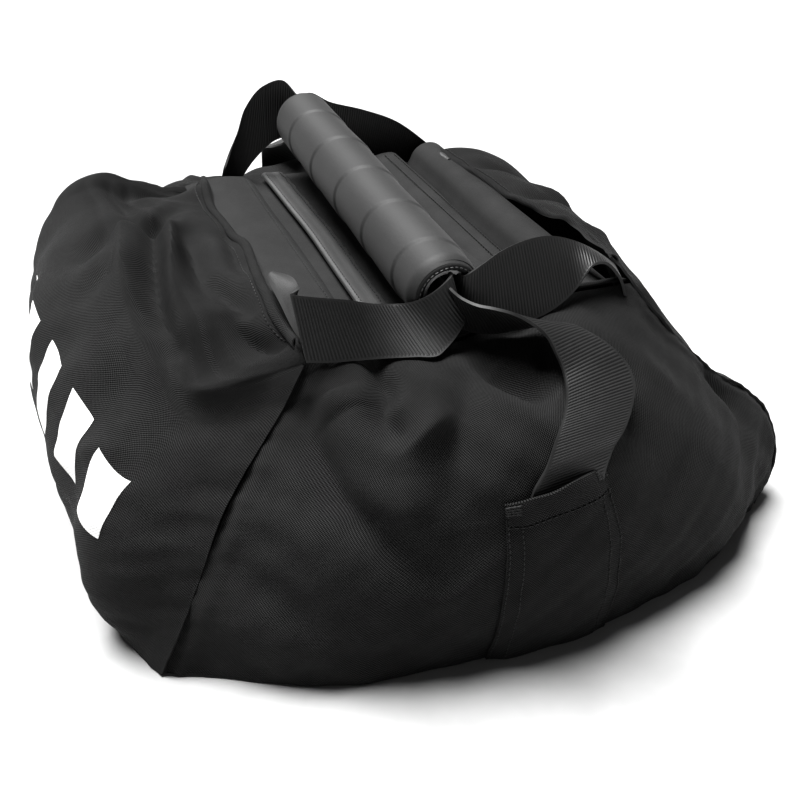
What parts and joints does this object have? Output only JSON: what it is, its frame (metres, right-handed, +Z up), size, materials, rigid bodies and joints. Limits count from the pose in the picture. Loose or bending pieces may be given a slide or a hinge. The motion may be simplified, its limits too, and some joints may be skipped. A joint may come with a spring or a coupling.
{
  "type": "training sandbag",
  "caption": "Low fabric sandbag with a flat base, gathered top closure and a wrapped tubular grip hung on webbing straps.",
  "frame": {"origin": "on the floor under the middle of the bag", "axes": "+Z up, +Y along the grip towards its raised end, +X across the grip, away from the printed side"},
  "size_m": [0.4204, 0.445, 0.23],
  "materials": {
    "bag_fabric": "black coated nylon in a coarse basket weave, slight sheen on the folds",
    "webbing": "black ribbed webbing with lighter selvedges",
    "binding": "black grosgrain binding and thread",
    "hook_and_loop": "black hook-and-loop tape",
    "filler_fabric": "dark grey coated liner cloth",
    "sand": "dry sand, opaque",
    "white_print": "white printed film, matt",
    "grip_rubber": "dark grey rubber tape, matt with a soft highlight",
    "grip_foam": "closed-cell foam",
    "grip_tube": "plain pipe"
  },
  "bodies": {
    "bag": {"base_panel": "bag_fabric", "left_side_panel": "bag_fabric", "right_side_panel": "bag_fabric", "front_end_panel": "bag_fabric", "rear_end_panel": "bag_fabric", "corner_seam_tapes": "binding", "base_seam_tape": "binding", "front_sleeve": "bag_fabric", "rear_sleeve": "bag_fabric", "base_sleeve": "bag_fabric", "under_strap": "webbing", "left_placket": "bag_fabric", "right_placket": "bag_fabric", "hook_tape": "hook_and_loop", "closure_flap": "bag_fabric", "front_filler_bag": "filler_fabric", "rear_filler_bag": "filler_fabric", "front_sand": "sand", "rear_sand": "sand", "filler_neck_closures": "hook_and_loop", "printed_mark": "white_print", "bar_tacks": "binding", "strap_end_folds": "webbing"},
    "lip": {"flap_lip": "bag_fabric", "loop_tape": "hook_and_loop", "flap_edge_binding": "binding"},
    "straps": {"front_cross_strap_left": "webbing", "front_cross_strap_right": "webbing", "rear_cross_strap_left": "webbing", "rear_cross_strap_right": "webbing", "front_end_strap": "webbing", "rear_end_strap": "webbing"},
    "grip": {"grip_wrap": "grip_rubber", "grip_foam": "grip_foam", "grip_core_tube": "grip_tube", "grip_webbing": "webbing", "grip_end_rims": "grip_rubber"}
  },
  "joints": [
    {"name": "lip_peel", "type": "hinge", "parent": "bag", "child": "lip", "pos_m": [-0.018, 0, 0.1554], "axis": [0, 0.9951, 0.0993], "range_deg": [0, 28]},
    {"name": "grip_swing", "type": "hinge", "parent": "bag", "child": "straps", "pos_m": [-0.013, 0, 0.105], "axis": [0, 1, 0], "range_deg": [-10, 15], "deforming": ["front_cross_strap_left", "front_cross_strap_right", "rear_cross_strap_left", "rear_cross_strap_right", "front_end_strap", "rear_end_strap"]},
    {"name": "grip_lift", "type": "slide", "parent": "straps", "child": "grip", "axis": [0, 0, 1], "range_m": [0, 0.03]}
  ]
}
